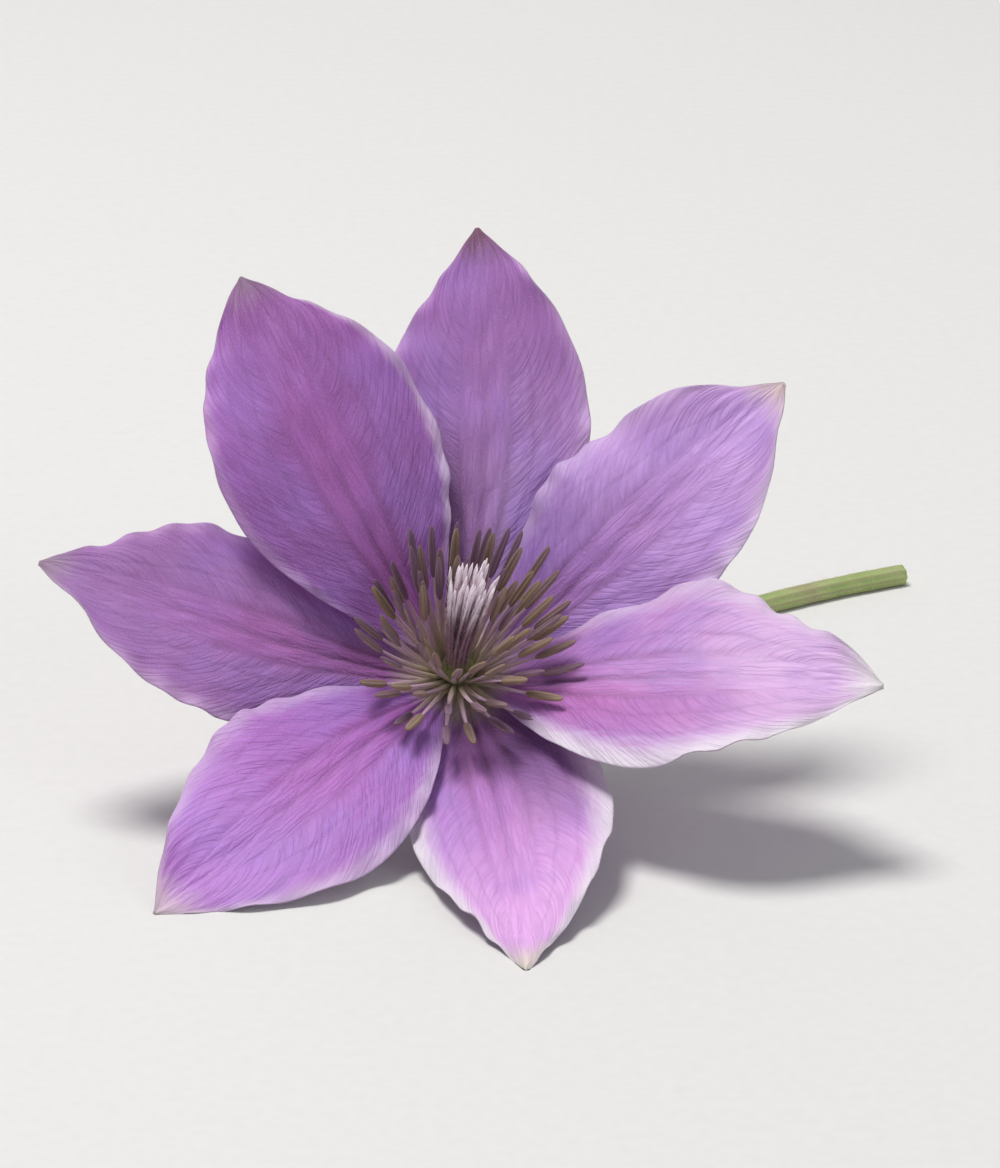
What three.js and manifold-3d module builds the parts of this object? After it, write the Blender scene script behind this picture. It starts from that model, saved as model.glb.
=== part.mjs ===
// A clematis flower as picked: seven three-ribbed tepals, a brush of stamens round a tuft of styles, and the
// flower's own bare stalk. Units are millimetres and +Z is up. The flower lies on the plane z = 0: it rests on
// the tips of its two lowest tepals and on its stalk, and its face looks towards -Y and up.
import * as THREE from 'three';
import { mergeVertices } from 'three/addons/utils/BufferGeometryUtils.js';
import Module from 'manifold-3d';

const wasm = await Module();
wasm.setup();

const radians = THREE.MathUtils.degToRad;
const smooth = THREE.MathUtils.smoothstep;

// ---- Driving dimensions -------------------------------------------------------------------------------

const AXIS_ELEVATION = radians(52); // the flower's axis above the horizon
const BLOOM_HEIGHT = 11.2; // the middle of the ring of tepal roots above the surface
const SEAT_GAP = 0.3; // between a piece and what carries it

const RECEPTACLE_RADIUS = 2.7; // the seat round which the tepals stand
const FIRST_ROOT = 27.4; // where the first tepal's claw stands, in degrees from the right of the face

const TEPAL_THICKNESS = 0.7;
const CLAW_HALF_WIDTH = 0.95; // a tepal's narrow root
const TIP_HALF_WIDTH = 0.35;
const SWELL = 1.4; // how slowly a blade widens from its claw
const TAPER = 1.2; // how sharply it narrows to its tip
const CHANNEL = { root: 0.36, middle: 0.16 }; // the slope of its sides, up from the midrib
const ROLL = 0.1; // how far its edges turn back, as a share of its half width
const WAVES = 2.3; // waves along each edge
const RIB_SPACING = 0.24; // from the midrib to a side rib, as a share of the half width
const RIB_WIDTH = 0.085; // the same share
const RIB_HEIGHT = 0.45; // on the back, at the root; it fades towards the tip
const GROOVE_DEPTH = 0.12; // on the face, over each rib

// One line a tepal, in turn round the flower. lift is how high its claw stands on the seat. reach and height
// are where its tip is, out from the axis and above the ring of roots, and sway is how far it leans to the
// left. rise and tipRise are its slopes at the root and at the tip, in degrees. tilt lifts its left edge in
// its lower half, and twist turns it about its midrib towards the tip, in degrees. right and left are the
// depths of its edges' waves. Tepals 3, 5 and 7 lie over their neighbours, and tepal 1 over tepal 2.
const TEPALS = [
  // lift, reach, height, sway, rise, tipRise, halfWidth, tilt, twist, right, left, phase
  [0.05, 40.5, 18.5, 6.0, 34, 10, 10.0, 0.18, 4, 1.0, 1.2, 0.3],
  [-0.35, 42.5, 18.5, 6.4, 25, 16, 10.3, 0, -3, 0.9, 0.6, 1.9],
  [0.35, 42.0, 19.5, -6.4, 42, 2, 11.6, 0, 2, 0.7, 1.3, 3.4],
  [-0.35, 41.5, 17.0, -5.0, 25, 18, 10.0, -0.16, 3, 1.0, 0.8, 4.6],
  [0.35, 43.5, 11.3, -3.8, 44, 8, 10.3, 0, -3, 1.1, 0.5, 0.9],
  [-0.35, 42.5, 18.6, -4.0, 26, 28, 10.6, 0.08, 3, 0.7, 1.1, 2.6],
  [0.35, 43.0, 19.5, 6.4, 42, 0, 10.4, 0, -4, 1.1, 1.7, 4.3],
].map(([lift, reach, height, sway, rise, tipRise, halfWidth, tilt, twist, right, left, phase], i, all) => ({
  turn: radians(FIRST_ROOT + (360 * i) / all.length),
  lift,
  reach,
  height,
  sway,
  rise: radians(rise),
  tipRise: radians(tipRise),
  halfWidth,
  tilt,
  twist: radians(twist),
  right,
  left,
  phase,
}));

// Heights here are above the ring of tepal roots, along the flower's axis.
const STAMEN_RING = { inner: 1.15, outer: 2.35, bottom: 1.3, top: 2.3 };
// Whorls of stamens, outermost first. lean is the slope of a filament as it leaves the ring, and tipLean at
// its anther, both in degrees from the flower's axis.
const STAMEN_WHORLS = [
  { count: 16, root: 2.05, lean: 45, tipLean: 33, filament: 9.0, anther: 4.4 },
  { count: 14, root: 1.85, lean: 28, tipLean: 21, filament: 9.4, anther: 4.6 },
  { count: 12, root: 1.62, lean: 14, tipLean: 10, filament: 9.0, anther: 4.6 },
];
const FILAMENT_RADIUS = 0.36;
const ANTHER_RADIUS = 0.56;

const OVARY = { root: 0.8, radius: 1.2, bottom: 1.3, top: 5.4 };
const STYLES = { count: 9, length: 10.6, radius: 0.3, ring: 0.75, lean: 3, tipLean: 12 };

const STALK_RADIUS = 1.15;
const STALK_SINK = 0.12; // the stalk's underside is flat by this much where it lies
// The receptacle that tops the stalk: how far each of its sections is below the ring of roots, and its radius.
const RECEPTACLE = [[1.6, 2.45], [0.7, RECEPTACLE_RADIUS], [-0.6, RECEPTACLE_RADIUS], [-1, 2.2]];

// ---- The bloom's frame --------------------------------------------------------------------------------

// The bloom's own +Z is its axis, out of its face, and its +Y is up its face.
const bloom = new THREE.Group();
bloom.position.set(0, 0, BLOOM_HEIGHT);
bloom.rotation.x = Math.PI / 2 - AXIS_ELEVATION;

// ---- Solids -------------------------------------------------------------------------------------------

// A closed geometry from corner points and triangles.
function closedGeometry(points, triangles) {
  const geometry = new THREE.BufferGeometry();
  geometry.setAttribute('position', new THREE.Float32BufferAttribute(points.flatMap((p) => p.toArray()), 3));
  geometry.setIndex(triangles.flat());
  return geometry;
}

function toSolid(geometry) {
  const bare = geometry.clone();
  bare.deleteAttribute('normal');
  bare.deleteAttribute('uv');
  const merged = mergeVertices(bare, 1e-4);
  return new wasm.Manifold(new wasm.Mesh({
    numProp: 3,
    vertProperties: merged.attributes.position.array,
    triVerts: new Uint32Array(merged.index.array),
  }));
}

function toGeometry(solid) {
  const mesh = solid.getMesh();
  const geometry = new THREE.BufferGeometry();
  geometry.setAttribute('position', new THREE.BufferAttribute(mesh.vertProperties, 3));
  geometry.setIndex(new THREE.BufferAttribute(mesh.triVerts, 1));
  return geometry;
}

const fuse = (geometries) => toGeometry(geometries.map(toSolid).reduce((whole, piece) => whole.add(piece)));

// A rod through a list of stations, each { at, radius }, closed by a flat face at each end. flat is the
// section's thickness over its width.
function rodGeometry(stations, sides, flat = 1) {
  const points = [];
  const triangles = [];
  const along = stations.map((_, i) => {
    const before = stations[Math.max(i - 1, 0)].at;
    const after = stations[Math.min(i + 1, stations.length - 1)].at;
    return after.clone().sub(before).normalize();
  });
  // The section's first direction starts square to the rod and is carried along it without turning.
  const start = Math.abs(along[0].z) > 0.9 ? new THREE.Vector3(0, 1, 0) : new THREE.Vector3(0, 0, 1);
  let across = new THREE.Vector3().crossVectors(start, along[0]).normalize();
  stations.forEach(({ at, radius }, i) => {
    across = across.clone().addScaledVector(along[i], -across.dot(along[i])).normalize();
    const out = new THREE.Vector3().crossVectors(along[i], across);
    for (let k = 0; k < sides; k++) {
      const turn = (2 * Math.PI * k) / sides;
      points.push(at.clone()
        .addScaledVector(across, radius * Math.cos(turn))
        .addScaledVector(out, radius * flat * Math.sin(turn)));
    }
  });
  for (let i = 0; i + 1 < stations.length; i++)
    for (let k = 0; k < sides; k++) {
      const [a, b] = [i * sides + k, i * sides + ((k + 1) % sides)];
      triangles.push([a, b, b + sides], [a, b + sides, a + sides]);
    }
  const last = (stations.length - 1) * sides;
  for (let k = 1; k + 1 < sides; k++) triangles.push([0, k + 1, k], [last, last + k, last + k + 1]);
  return closedGeometry(points, triangles);
}

// ---- Tepals -------------------------------------------------------------------------------------------

// The half width of a tepal at a share s of its length: a narrow claw, widest past the middle, then a
// drawn-out point.
function halfWidthAt(tepal, s) {
  const widest = SWELL / (SWELL + TAPER);
  const most = widest ** SWELL * (1 - widest) ** TAPER;
  const blade = (s ** SWELL * (1 - s) ** TAPER) / most;
  return tepal.halfWidth * blade + THREE.MathUtils.lerp(CLAW_HALF_WIDTH, TIP_HALF_WIDTH, s);
}

// The midrib, in the tepal's own frame: +X out along it, +Y to its left, +Z the flower's axis. Its root keeps
// the face's inner edge clear of the seat.
function midribOf({ lift, reach, height, sway, rise, tipRise }) {
  const handle = reach / 3;
  const out = RECEPTACLE_RADIUS + SEAT_GAP + (TEPAL_THICKNESS / 2) * Math.sin(rise);
  return new THREE.CubicBezierCurve3(
    new THREE.Vector3(out, 0, lift),
    new THREE.Vector3(out + handle * Math.cos(rise), 0, lift + handle * Math.sin(rise)),
    new THREE.Vector3(reach - handle * Math.cos(tipRise), sway / 3, height - handle * Math.sin(tipRise)),
    new THREE.Vector3(reach, sway, height),
  );
}

// A point of the tepal's middle surface. s runs from root to tip, and v from the right edge, -1, to the left
// edge, 1.
function middleSurface(tepal, midrib, s, v) {
  const along = midrib.getTangent(s);
  const left = new THREE.Vector3(0, 1, 0).addScaledVector(along, -along.y).normalize();
  const up = new THREE.Vector3().crossVectors(along, left);

  const half = halfWidthAt(tepal, s);
  const belly = Math.sin(Math.PI * s);
  const keel = 0.22; // how softly the two sides meet at the midrib, in v
  const channel = THREE.MathUtils.lerp(CHANNEL.root, CHANNEL.middle, belly) * (Math.hypot(v, keel) - keel);
  const rolled = -ROLL * belly * v ** 4;
  const lean = tepal.tilt * (1 - smooth(s, 0.35, 0.75)) + Math.tan(tepal.twist) * s ** 2;
  const depth = (v > 0 ? tepal.left : tepal.right) * smooth(s, 0.3, 0.58) * (1 - smooth(s, 0.85, 1));
  const phase = tepal.phase + (v > 0 ? 2.2 : 0);
  const wave = depth * Math.abs(v) ** 3 * Math.sin(2 * Math.PI * WAVES * s + phase);
  return midrib.getPoint(s)
    .addScaledVector(left, half * v)
    .addScaledVector(up, half * (channel + rolled + lean * v) + wave);
}

// How strongly a rib shows at v: 1 on the midrib and on each side rib, 0 away from them.
function ribAt(v) {
  return [-RIB_SPACING, 0, RIB_SPACING].reduce((most, rib) =>
    Math.max(most, Math.exp(-(((v - rib) / RIB_WIDTH) ** 2))), 0);
}

// Where a point would reach below the surface that the flower lies on, it is pressed flat on it.
function pressFlat(point, turn) {
  const up = new THREE.Vector3(0, Math.cos(AXIS_ELEVATION), Math.sin(AXIS_ELEVATION))
    .applyAxisAngle(new THREE.Vector3(0, 0, 1), -turn);
  const height = BLOOM_HEIGHT + point.dot(up);
  return height < 0 ? point.addScaledVector(up, -height) : point;
}

const ACROSS = [-1, -0.84, -0.62, -0.38, -RIB_SPACING, -0.12, 0, 0.12, RIB_SPACING, 0.38, 0.62, 0.84, 1];
const ROWS = 17;

function tepalGeometry(tepal) {
  const midrib = midribOf(tepal);
  const surface = (s, v) => middleSurface(tepal, midrib, s, v);
  const step = 1e-3;
  const points = [];
  const triangles = [];
  const columns = ACROSS.length;
  for (const side of [1, -1])
    for (let row = 0; row <= ROWS; row++)
      for (const v of ACROSS) {
        const s = row / ROWS;
        const along = surface(Math.min(s + step, 1), v).sub(surface(Math.max(s - step, 0), v));
        const left = surface(s, v + step).sub(surface(s, v - step));
        const normal = along.cross(left).normalize();
        const rib = ribAt(v) * (1 - s) ** 0.7;
        const offset = side > 0
          ? TEPAL_THICKNESS / 2 - GROOVE_DEPTH * rib
          : -TEPAL_THICKNESS / 2 - RIB_HEIGHT * rib;
        points.push(pressFlat(surface(s, v).addScaledVector(normal, offset), tepal.turn));
      }
  const back = (ROWS + 1) * columns;
  for (let row = 0; row < ROWS; row++)
    for (let column = 0; column + 1 < columns; column++) {
      const a = row * columns + column;
      const [b, c, d] = [a + 1, a + columns + 1, a + columns];
      triangles.push([a, d, c], [a, c, b], [back + a, back + c, back + d], [back + a, back + b, back + c]);
    }
  // The rim joins the face to the back, all the way round.
  const rim = [];
  for (let column = 0; column + 1 < columns; column++) rim.push(column);
  for (let row = 0; row < ROWS; row++) rim.push(row * columns + columns - 1);
  for (let column = columns - 1; column > 0; column--) rim.push(ROWS * columns + column);
  for (let row = ROWS; row > 0; row--) rim.push(row * columns);
  rim.forEach((a, i) => {
    const b = rim[(i + 1) % rim.length];
    triangles.push([a, b, back + b], [a, back + b, back + a]);
  });
  return closedGeometry(points, triangles);
}

// ---- Stamens ------------------------------------------------------------------------------------------

// A rod that leaves a root at one slope and ends at another, in the plane that holds the flower's axis at
// an angle round it. Slopes are in degrees from the axis, and shares run along the rod.
function leaningRod({ root, base, around, lean, tipLean, length, shares, radii }, sides, flat) {
  const stations = [];
  let out = root;
  let up = base;
  let done = 0;
  shares.forEach((share, i) => {
    const slope = radians(THREE.MathUtils.lerp(lean, tipLean, (done + share) / 2));
    out += (share - done) * length * Math.sin(slope);
    up += (share - done) * length * Math.cos(slope);
    done = share;
    const at = new THREE.Vector3(out * Math.cos(around), out * Math.sin(around), up);
    stations.push({ at, radius: radii[i] });
  });
  return rodGeometry(stations, sides, flat);
}

function stamenGeometries() {
  const { inner, outer, bottom, top } = STAMEN_RING;
  const ring = new THREE.LatheGeometry([
    new THREE.Vector2(inner, bottom), new THREE.Vector2(outer, bottom), new THREE.Vector2(outer, top - 0.3),
    new THREE.Vector2(outer - 0.4, top), new THREE.Vector2(inner, top), new THREE.Vector2(inner, bottom),
  ], 20).rotateX(Math.PI / 2);
  const stamens = STAMEN_WHORLS.flatMap(({ count, root, lean, tipLean, filament, anther }, whorl) =>
    Array.from({ length: count }, (_, i) => {
      const length = filament + anther + 0.5 * Math.sin(5 * i + whorl);
      const joint = filament / (filament + anther);
      return leaningRod({
        root,
        base: bottom + 0.35,
        length,
        lean: lean + 4 * Math.sin(3 * i + 2 * whorl),
        tipLean,
        around: (2 * Math.PI * (i + 0.33 * whorl)) / count,
        shares: [0, joint / 2, joint, joint + 0.06, (joint + 1) / 2, 1],
        radii: [FILAMENT_RADIUS, FILAMENT_RADIUS, 0.8 * FILAMENT_RADIUS, ANTHER_RADIUS, ANTHER_RADIUS, 0.24],
      }, 5, 0.8);
    }));
  return [ring, ...stamens];
}

// ---- Pistils ------------------------------------------------------------------------------------------

function pistilGeometries() {
  const { root, radius, bottom, top } = OVARY;
  const heart = new THREE.LatheGeometry([
    new THREE.Vector2(0, bottom), new THREE.Vector2(root, bottom), new THREE.Vector2(root, bottom + 1),
    new THREE.Vector2(radius, top - 1.6), new THREE.Vector2(radius, top - 0.5), new THREE.Vector2(0, top),
  ], 14).rotateX(Math.PI / 2);
  const styles = Array.from({ length: STYLES.count }, (_, i) => {
    const central = i === STYLES.count - 1;
    return leaningRod({
      root: central ? 0 : STYLES.ring,
      base: top - 1.4,
      around: (2 * Math.PI * i) / (STYLES.count - 1),
      length: STYLES.length + 0.7 * Math.sin(7 * i),
      lean: central ? 0 : STYLES.lean,
      tipLean: central ? 5 : STYLES.tipLean,
      shares: [0, 0.35, 0.7, 0.9, 1],
      radii: [STYLES.radius, STYLES.radius, 0.85 * STYLES.radius, 1.1 * STYLES.radius, 0.6 * STYLES.radius],
    }, 5);
  });
  return [heart, ...styles];
}

// ---- Stalk and receptacle -----------------------------------------------------------------------------

// The stalk leaves the back of the flower along its axis, bends down to the surface and lies on it to its
// cut end. Its top swells into the receptacle.
function stalkGeometry() {
  const lying = STALK_RADIUS - STALK_SINK;
  const [back, down] = [Math.cos(AXIS_ELEVATION), Math.sin(AXIS_ELEVATION)];
  const behind = (distance) => new THREE.Vector3(0, distance * back, BLOOM_HEIGHT - distance * down);
  const route = new THREE.CatmullRomCurve3([
    new THREE.Vector3(50, 53.5, lying),
    new THREE.Vector3(42, 49.5, lying),
    new THREE.Vector3(31, 42.5, lying),
    new THREE.Vector3(20, 33, lying),
    new THREE.Vector3(10.5, 22, lying),
    new THREE.Vector3(4.6, 13.6, lying + 0.8),
    new THREE.Vector3(1.5, 8, lying + 2.8),
    behind(6),
    behind(3.2),
  ], false, 'centripetal');
  const steps = 30;
  const stations = Array.from({ length: steps + 1 }, (_, i) => ({
    at: route.getPointAt(i / steps),
    radius: STALK_RADIUS + 0.75 * smooth(i / steps, 0.86, 1) ** 2, // it thickens below the flower
  }));
  for (const [distance, radius] of RECEPTACLE) stations.push({ at: behind(distance), radius });
  const geometry = rodGeometry(stations, 14);
  const position = geometry.getAttribute('position');
  for (let i = 0; i < position.count; i++) position.setZ(i, Math.max(position.getZ(i), 0));
  return geometry;
}

// ---- The flower ---------------------------------------------------------------------------------------

const green = new THREE.MeshStandardMaterial({ color: 0x8fa565, roughness: 0.6, metalness: 0 });
const mauve = new THREE.MeshStandardMaterial({ color: 0xa66cb8, roughness: 0.55, metalness: 0 });
const plumBrown = new THREE.MeshStandardMaterial({ color: 0x8a6a63, roughness: 0.7, metalness: 0 });
const palePink = new THREE.MeshStandardMaterial({ color: 0xe8cfd6, roughness: 0.6, metalness: 0 });

function named(name, geometry, material) {
  const mesh = new THREE.Mesh(geometry, material);
  mesh.name = name;
  return mesh;
}

TEPALS.forEach((tepal, i) => {
  const mesh = named(`tepal_${i + 1}`, tepalGeometry(tepal), mauve);
  mesh.rotation.z = tepal.turn;
  bloom.add(mesh);
});
bloom.add(named('stamens', fuse(stamenGeometries()), plumBrown));
bloom.add(named('pistils', fuse(pistilGeometries()), palePink));

const flower = new THREE.Group();
flower.add(bloom, named('stalk', stalkGeometry(), green));

// The part's origin is on the surface, under the middle of the part.
const middle = new THREE.Box3().setFromObject(flower, true).getCenter(new THREE.Vector3());
flower.position.set(-middle.x, -middle.y, 0);

export default flower;
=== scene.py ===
# %% [markdown]
# # A picked clematis flower
# The real thing is one open bloom on its bare stalk, lying on a surface: seven petal-like tepals, a brush of
# stamens, a tuft of silky styles and the stalk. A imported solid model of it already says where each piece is.
# It is loaded first and never moved, so every finer piece below can be placed by the same formulas.

# %% Load the solid model
import math
from collections import namedtuple

import bmesh
import bpy
import numpy as np
from mathutils import Matrix, Vector


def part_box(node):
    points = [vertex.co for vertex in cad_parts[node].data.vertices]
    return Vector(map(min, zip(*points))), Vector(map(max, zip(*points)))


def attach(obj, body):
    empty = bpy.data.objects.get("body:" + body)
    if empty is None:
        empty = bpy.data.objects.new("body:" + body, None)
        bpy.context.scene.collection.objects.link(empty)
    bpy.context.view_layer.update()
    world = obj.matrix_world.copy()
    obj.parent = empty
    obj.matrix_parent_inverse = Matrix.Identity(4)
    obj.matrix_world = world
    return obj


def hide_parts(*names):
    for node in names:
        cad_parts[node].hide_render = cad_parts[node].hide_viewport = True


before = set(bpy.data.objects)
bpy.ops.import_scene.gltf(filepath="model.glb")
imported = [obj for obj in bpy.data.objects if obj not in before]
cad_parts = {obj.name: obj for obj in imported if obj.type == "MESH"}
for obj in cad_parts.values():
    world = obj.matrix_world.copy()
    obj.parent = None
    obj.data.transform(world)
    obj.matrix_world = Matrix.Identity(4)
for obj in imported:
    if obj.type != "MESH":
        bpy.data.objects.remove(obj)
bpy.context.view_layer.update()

print("solids:", ", ".join(sorted(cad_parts)))

# %% [markdown]
# ## Where the bloom is
# The flower's own axis leans back from upright, because the bloom rests on the tips of its lowest tepals. All
# its pieces are easiest to shape round an upright axis, so they are shaped in millimetres in the bloom's own
# frame, and one matrix then leans them back and turns millimetres to metres.

# %% The bloom's frame
MM = 0.001
AXIS_ELEVATION = math.radians(52)
BLOOM_AT = Vector((-4.354, -4.902, 11.2))  # the middle of the ring of tepal roots

bloom_frame = (
    Matrix.Scale(MM, 4)
    @ Matrix.Translation(BLOOM_AT)
    @ Matrix.Rotation(math.pi / 2 - AXIS_ELEVATION, 4, "X")
)


def moved(points, matrix):
    """An array of points, one a row, moved by a matrix."""
    turn = np.array(matrix.to_3x3())
    return points @ turn.T + np.array(matrix.translation)


print("the bloom's middle is at", [round(x, 4) for x in bloom_frame.translation], "m")

# %% [markdown]
# ## The camera
# A long lens from half a metre away flattens perspective, as in the photograph. The bloom's axis there leans
# about 30 degrees up from the line of sight, and here it is 52 degrees above the horizon, so the camera looks
# down at 22 degrees.

# %% Set up the camera
LENS = 150
VIEW_DOWN = math.radians(22)
CAMERA_DISTANCE = 0.50
AIM = Vector((0.0, 0.0, 0.0195))

camera_data = bpy.data.cameras.new("camera")
camera_data.lens = LENS
camera = bpy.data.objects.new("camera", camera_data)
back = Vector((0, -math.cos(VIEW_DOWN), math.sin(VIEW_DOWN)))
camera.location = AIM + back * CAMERA_DISTANCE
camera.rotation_euler = (-back).to_track_quat("-Z", "Y").to_euler()
camera_data.clip_start = 0.01
bpy.context.scene.collection.objects.link(camera)
bpy.context.scene.camera = camera
print("the camera is", CAMERA_DISTANCE, "m away, with a", LENS, "mm lens")

# %% [markdown]
# ## Writing finishes as sums
# A finish is a network of nodes. Wiring it by hand hides the idea, so a small class lets a node's output be
# added and multiplied as a number is, and one method adds any other node. Colours are easier to pick as they
# look on a screen, so `tone` turns them to the linear numbers that shaders work in.

# %% A node's output as a number
class Value:
    """An output of a node. Arithmetic on it adds Math nodes to its finish."""

    def __init__(self, finish, socket):
        self.finish, self.socket = finish, socket

    def joined(self, operation, *values):
        return self.finish.node("ShaderNodeMath", {"operation": operation}, dict(enumerate(values)))

    def __add__(self, other):
        return self.joined("ADD", self, other)

    def __sub__(self, other):
        return self.joined("SUBTRACT", self, other)

    def __rsub__(self, other):
        return self.joined("SUBTRACT", other, self)

    def __mul__(self, other):
        return self.joined("MULTIPLY", self, other)

    def __abs__(self):
        return self.joined("ABSOLUTE", self)

    __radd__, __rmul__ = __add__, __mul__  # the order of a sum or a product doesn't matter


# %% A finish
class Finish:
    """A material that is written as expressions."""

    def __init__(self, name):
        self.material = bpy.data.materials.new(name)
        self.material.use_nodes = True
        self.tree = self.material.node_tree
        self.tree.nodes.clear()

    def node(self, kind, settings, inputs, output=0):
        """Adds a node of a kind, with its settings, then its sockets' values or links."""
        node = self.tree.nodes.new(kind)
        for name, value in settings.items():
            setattr(node, name, value)
        for name, value in inputs.items():
            if isinstance(value, Value):
                self.tree.links.new(value.socket, node.inputs[name])
            else:
                node.inputs[name].default_value = value
        return Value(self, node.outputs[output]) if node.outputs else None

    def attribute(self, name):
        return self.node("ShaderNodeAttribute", {"attribute_name": name}, {}, "Vector")

    def parts(self, vector):
        """The three numbers of a vector."""
        split = self.node("ShaderNodeSeparateXYZ", {}, {0: vector}).socket.node
        return [Value(self, socket) for socket in split.outputs]

    def place(self):
        """Where a point of the surface is, in metres, so that a pattern has its real size."""
        return self.node("ShaderNodeTexCoord", {}, {}, "Object")

    def vectors(self, operation, first, second):
        """Vector Math, because a Math node would turn a vector to one number."""
        return self.node("ShaderNodeVectorMath", {"operation": operation}, {0: first, 1: second})

    def ramp(self, value, low, high):
        """0 below low and 1 above high, or the other way round if low is the larger."""
        sockets = {"Value": value, "From Min": low, "From Max": high}
        return self.node("ShaderNodeMapRange", {"interpolation_type": "SMOOTHSTEP"}, sockets)

    def noise(self, vector, scale, detail=2.0, roughness=0.5, output=0):
        """Smooth random values round 0.5."""
        sockets = {"Vector": vector, "Scale": scale, "Detail": detail, "Roughness": roughness}
        return self.node("ShaderNodeTexNoise", {}, sockets, output)

    def cells(self, vector, scale, feature="DISTANCE_TO_EDGE"):
        """0 on the borders of random cells, or in their middles with the feature F1."""
        return self.node("ShaderNodeTexVoronoi", {"feature": feature}, {"Vector": vector, "Scale": scale})

    def blend(self, share, *colours):
        """The first colour where share is 0 and the second where it is 1."""
        first, second = [tone(*c) if isinstance(c, tuple) else c for c in colours]
        return self.node("ShaderNodeMix", {"data_type": "RGBA"}, {0: share, 6: first, 7: second}, 2)

    def coats(self, colour, *coats):
        """A ground colour under coats of others. Each coat is its share and its colour."""
        for share, coat in coats:
            colour = self.blend(share, colour, coat)
        return colour

    def relief(self, height, distance):
        """Normals for a surface that stands out by height times distance, in metres."""
        return self.node("ShaderNodeBump", {}, {"Height": height, "Distance": distance})

    def surface(self, glow=(), **sockets):
        """Ends the finish with one shader. glow is the light's spread below the surface: how strong it is, in
        which colours and how far. An underscore stands for a space in a socket's name."""
        inputs = dict(zip(("Subsurface Weight", "Subsurface Radius", "Subsurface Scale"), glow))
        inputs.update((name.replace("_", " "), value) for name, value in sockets.items())
        shader = self.node("ShaderNodeBsdfPrincipled", {}, inputs)
        self.node("ShaderNodeOutputMaterial", {}, {"Surface": shader})
        return self.material


# %% Colours as they look
def tone(red, green, blue):
    """A colour as it looks on a screen, 0 to 255, as a shader's linear colour."""
    linear = [
        c / 12.92 if c <= 0.04045 else ((c + 0.055) / 1.055) ** 2.4
        for c in (red / 255, green / 255, blue / 255)
    ]
    return (*linear, 1.0)


print("a mid mauve is", [round(c, 3) for c in tone(178, 122, 192)[:3]])

# %% [markdown]
# ## The tepals' form
# A tepal is a thin blade: a narrow claw, a broad middle and a drawn-out tip, folded along its midrib into a
# shallow channel, with waved edges. It could be sculpted, but seven of them have to lie over each other
# without touching, so each is a flat grid whose points are moved by one formula. s runs from root to tip, and
# v from the right edge, -1, to the left edge, 1.

# %% The seven tepals
SEAT_RADIUS = 2.7  # the receptacle that they stand round
SEAT_GAP = 0.3
FIRST_ROOT = math.radians(27.4)
SOLID_THICKNESS = 0.7
CLAW_HALF_WIDTH, TIP_HALF_WIDTH = 0.95, 0.35
TAPER = 1.2
CHANNEL_AT_ROOT, CHANNEL_IN_MIDDLE = 0.36, 0.16
KEEL = 0.22  # how round the channel's bottom is
ROLL = 0.1
WAVES = 2.3
POINT_FROM, POINT_TO = 0.965, 1.004  # the stretch in which a blunt tip is drawn to a fine point
LAP_AT, LAP_SPREAD = 0.07, 0.1  # where a foot is wider on the sides where its neighbours lie over it

# How late a blade swells and how wide it gets, on its right and on its left.
EVEN = ((1.4, 1.0), (1.4, 1.0))
ROUND_SHOULDERED = ((0.85, 0.82), (0.95, 1.0))

# lift and lean are how high a claw stands and how it tilts. reach, height and sway are its tip's place, rise
# and tip_rise its slopes in degrees. right and left are the waves' depths, and laps the foot's added widths
# on its right and left, in mm.
Tepal = namedtuple(
    "Tepal", "lift reach height sway rise tip_rise half_width outline lean twist right left phase laps"
)
TEPALS = [
    Tepal(0.05, 40.5, 18.5, 6.0, 34, 10, 10.0, EVEN, 0.18, 4, 1.0, 1.2, 0.3, (1, 0)),
    Tepal(-0.35, 42.5, 18.5, 6.4, 25, 16, 10.3, EVEN, 0, -3, 0.9, 0.6, 1.9, (1, 1)),
    Tepal(0.35, 42.0, 19.5, -6.4, 42, 2, 11.6, EVEN, 0, 2, 0.7, 1.3, 3.4, (0, 0)),
    Tepal(-0.35, 41.5, 17.0, -5.0, 25, 18, 10.0, EVEN, -0.16, 3, 1.0, 0.8, 4.6, (1.5, 1)),
    Tepal(0.35, 43.5, 11.3, -3.8, 44, 8, 10.3, EVEN, 0, -3, 1.1, 0.5, 0.9, (0, 0)),
    Tepal(-0.35, 42.5, 18.6, -4.0, 26, 28, 10.5, ROUND_SHOULDERED, 0.08, 3, 0.7, 1.1, 2.6, (1.2, 1.4)),
    Tepal(0.35, 43.0, 19.5, 6.4, 42, 0, 10.4, EVEN, 0, -4, 1.1, 1.7, 4.3, (0, 0)),
]
print(len(TEPALS), "tepals, the widest", 2 * max(t.half_width for t in TEPALS), "mm across")


# %% The blade's outline and midrib
def smoothstep(x, low, high):
    share = np.clip((x - low) / (high - low), 0, 1)
    return share * share * (3 - 2 * share)


def between(first, second, share):
    return first + (second - first) * share


def ridge(distance, width):
    """1 on a line and 0 away from it."""
    return np.exp(-((distance / width) ** 2))


def unit(vectors):
    return vectors / np.linalg.norm(vectors, axis=-1, keepdims=True)


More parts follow.
